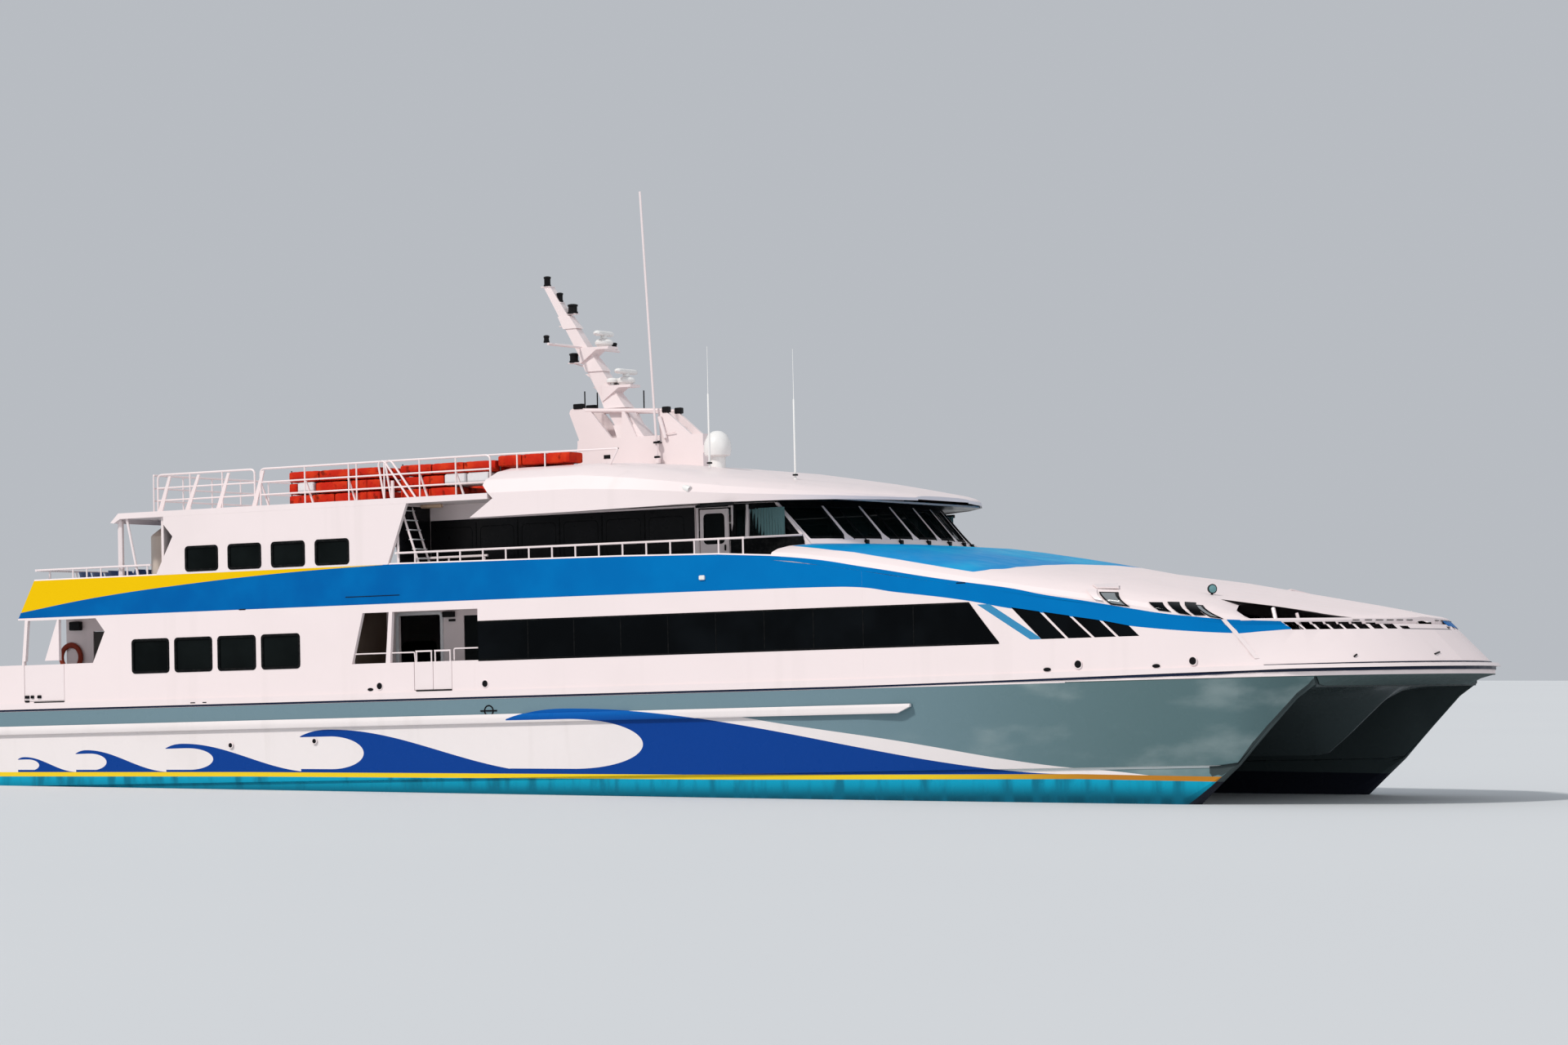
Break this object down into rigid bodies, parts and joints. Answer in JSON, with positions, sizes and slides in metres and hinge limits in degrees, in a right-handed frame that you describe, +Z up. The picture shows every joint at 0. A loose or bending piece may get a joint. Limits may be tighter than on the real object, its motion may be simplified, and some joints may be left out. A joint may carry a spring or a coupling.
{
  "type": "passenger catamaran ferry, 1:2 scale model",
  "caption": "Two-deck passenger catamaran ferry at 1:2 scale, with working propellers, rudders, radar scanners, gates and doors.",
  "frame": {"origin": "amidships on the centre line, in the plane of the water; the decks are parallel to X and the water falls 1.5 degrees towards the bow", "axes": "+X towards the bow along the decks, +Y to port, +Z up square to the decks"},
  "size_m": [21.8, 6.19, 8.6907],
  "materials": {
    "hull_paint": "satin paint, grey green above water, blue below",
    "white_paint": "satin white paint on aluminium",
    "band_paint": "gloss blue and yellow band",
    "deck_paint": "matt non-slip deck paint",
    "tinted_glazing": "near-black tinted glass",
    "bronze": "cast and polished",
    "float_orange": "matt red-orange fabric-covered foam",
    "seat_blue": "moulded plastic",
    "console_grey": "matt",
    "dome_white": "smooth glass-fibre"
  },
  "bodies": {
    "ship": {"aft_deck_seats": "seat_blue", "aft_house_bulkhead": "white_paint", "aft_house_side_port": "white_paint", "aft_house_side_starboard": "white_paint", "aft_roof": "white_paint", "boarding_lobby_port": "white_paint", "boarding_lobby_starboard": "white_paint", "bridge_deck": "hull_paint", "cabin_side_port": "white_paint", "cabin_side_starboard": "white_paint", "cabin_windows_port": "tinted_glazing", "cabin_windows_starboard": "tinted_glazing", "foredeck": "white_paint", "helm_console": "console_grey", "hull_port": "hull_paint", "hull_starboard": "hull_paint", "life_floats_port": "float_orange", "life_floats_starboard": "float_orange", "main_deck": "deck_paint", "main_windows_port": "tinted_glazing", "main_windows_starboard": "tinted_glazing", "mast": "white_paint", "mast_housing": "white_paint", "roof_cowl": "white_paint", "roof_rails": "white_paint", "saloon_bulkhead": "white_paint", "satellite_dome": "dome_white", "side_aft_port": "white_paint", "side_aft_starboard": "white_paint", "side_bow_port": "white_paint", "side_bow_starboard": "white_paint", "side_mid_port": "white_paint", "side_mid_starboard": "white_paint", "side_rail_port": "white_paint", "side_rail_starboard": "white_paint", "stern_bulwark_and_rail": "white_paint", "transom_bulwark": "white_paint", "upper_bulwark_port": "band_paint", "upper_bulwark_starboard": "band_paint", "upper_deck": "deck_paint", "wheelhouse": "white_paint", "whip_aerial": "dome_white"},
    "propeller_starboard": {"propeller_starboard": "bronze"},
    "propeller_port": {"propeller_port": "bronze"},
    "rudder_starboard": {"rudder_starboard": "hull_paint"},
    "rudder_port": {"rudder_port": "hull_paint"},
    "radar_lower": {"radar_lower_scanner": "dome_white"},
    "radar_upper": {"radar_upper_scanner": "dome_white"},
    "stern_gate_starboard": {"stern_gate_starboard": "white_paint"},
    "stern_gate_port": {"stern_gate_port": "white_paint"},
    "saloon_door_starboard": {"saloon_door_starboard": "white_paint"},
    "saloon_door_port": {"saloon_door_port": "white_paint"},
    "aft_house_door": {"aft_house_door": "white_paint"},
    "wheelhouse_door_starboard": {"wheelhouse_door_starboard": "white_paint"},
    "wheelhouse_door_port": {"wheelhouse_door_port": "white_paint"},
    "boarding_gate_aft_starboard": {"boarding_gate_aft_starboard": "white_paint"},
    "boarding_gate_aft_port": {"boarding_gate_aft_port": "white_paint"},
    "boarding_gate_fore_starboard": {"boarding_gate_fore_starboard": "white_paint"},
    "boarding_gate_fore_port": {"boarding_gate_fore_port": "white_paint"}
  },
  "joints": [
    {"name": "propeller_starboard_turn", "type": "hinge", "parent": "ship", "child": "propeller_starboard", "pos_m": [-10.05, -2.4, -0.66], "axis": [1, 0, 0], "continuous": true},
    {"name": "propeller_port_turn", "type": "hinge", "parent": "ship", "child": "propeller_port", "pos_m": [-10.05, 2.4, -0.66], "axis": [1, 0, 0], "continuous": true},
    {"name": "rudder_port_steer", "type": "hinge", "parent": "ship", "child": "rudder_port", "pos_m": [-10.575, 2.4, -0.65], "axis": [0, 0, 1], "range_deg": [-35, 35]},
    {"name": "rudder_starboard_steer", "type": "hinge", "parent": "ship", "child": "rudder_starboard", "pos_m": [-10.575, -2.4, -0.65], "axis": [0, 0, 1], "range_deg": [-35, 35]},
    {"name": "radar_lower_turn", "type": "hinge", "parent": "ship", "child": "radar_lower", "pos_m": [-0.925, 0, 5.44], "axis": [0, 0, 1], "continuous": true},
    {"name": "radar_upper_turn", "type": "hinge", "parent": "ship", "child": "radar_upper", "pos_m": [-1.26, 0, 5.955], "axis": [0, 0, 1], "continuous": true},
    {"name": "boarding_gate_aft_starboard_hinge", "type": "hinge", "parent": "ship", "child": "boarding_gate_aft_starboard", "pos_m": [-2.2345, -3.02, 1.5], "axis": [0, 0, 1], "range_deg": [0, 90]},
    {"name": "boarding_gate_fore_starboard_hinge", "type": "hinge", "parent": "ship", "child": "boarding_gate_fore_starboard", "pos_m": [-1.6655, -3.02, 1.5], "axis": [0, 0, -1], "range_deg": [0, 90]},
    {"name": "stern_gate_starboard_hinge", "type": "hinge", "parent": "ship", "child": "stern_gate_starboard", "pos_m": [-7.938, -3.02, 1.6], "axis": [0, 0, -1], "range_deg": [0, 90]},
    {"name": "saloon_door_starboard_hinge", "type": "hinge", "parent": "ship", "child": "saloon_door_starboard", "pos_m": [-6.9425, -1.492, 1.85], "axis": [0, 0, 1], "range_deg": [0, 90]},
    {"name": "wheelhouse_door_starboard_hinge", "type": "hinge", "parent": "ship", "child": "wheelhouse_door_starboard", "pos_m": [1.982, -2.2625, 3.05], "axis": [0, 0, 1], "range_deg": [0, 90]},
    {"name": "boarding_gate_aft_port_hinge", "type": "hinge", "parent": "ship", "child": "boarding_gate_aft_port", "pos_m": [-2.2345, 3.02, 1.5], "axis": [0, 0, -1], "range_deg": [0, 90]},
    {"name": "boarding_gate_fore_port_hinge", "type": "hinge", "parent": "ship", "child": "boarding_gate_fore_port", "pos_m": [-1.6655, 3.02, 1.5], "axis": [0, 0, 1], "range_deg": [0, 90]},
    {"name": "stern_gate_port_hinge", "type": "hinge", "parent": "ship", "child": "stern_gate_port", "pos_m": [-7.938, 3.02, 1.6], "axis": [0, 0, 1], "range_deg": [0, 90]},
    {"name": "saloon_door_port_hinge", "type": "hinge", "parent": "ship", "child": "saloon_door_port", "pos_m": [-6.9425, 1.492, 1.85], "axis": [0, 0, -1], "range_deg": [0, 90]},
    {"name": "wheelhouse_door_port_hinge", "type": "hinge", "parent": "ship", "child": "wheelhouse_door_port", "pos_m": [1.982, 2.2625, 3.05], "axis": [0, 0, -1], "range_deg": [0, 90]},
    {"name": "aft_house_door_hinge", "type": "hinge", "parent": "ship", "child": "aft_house_door", "pos_m": [-6.2925, -1.392, 3.05], "axis": [0, 0, 1], "range_deg": [0, 90]}
  ],
  "couplings": [
    {"joint": "rudder_starboard_steer", "follows": "rudder_port_steer", "ratio": 1}
  ]
}
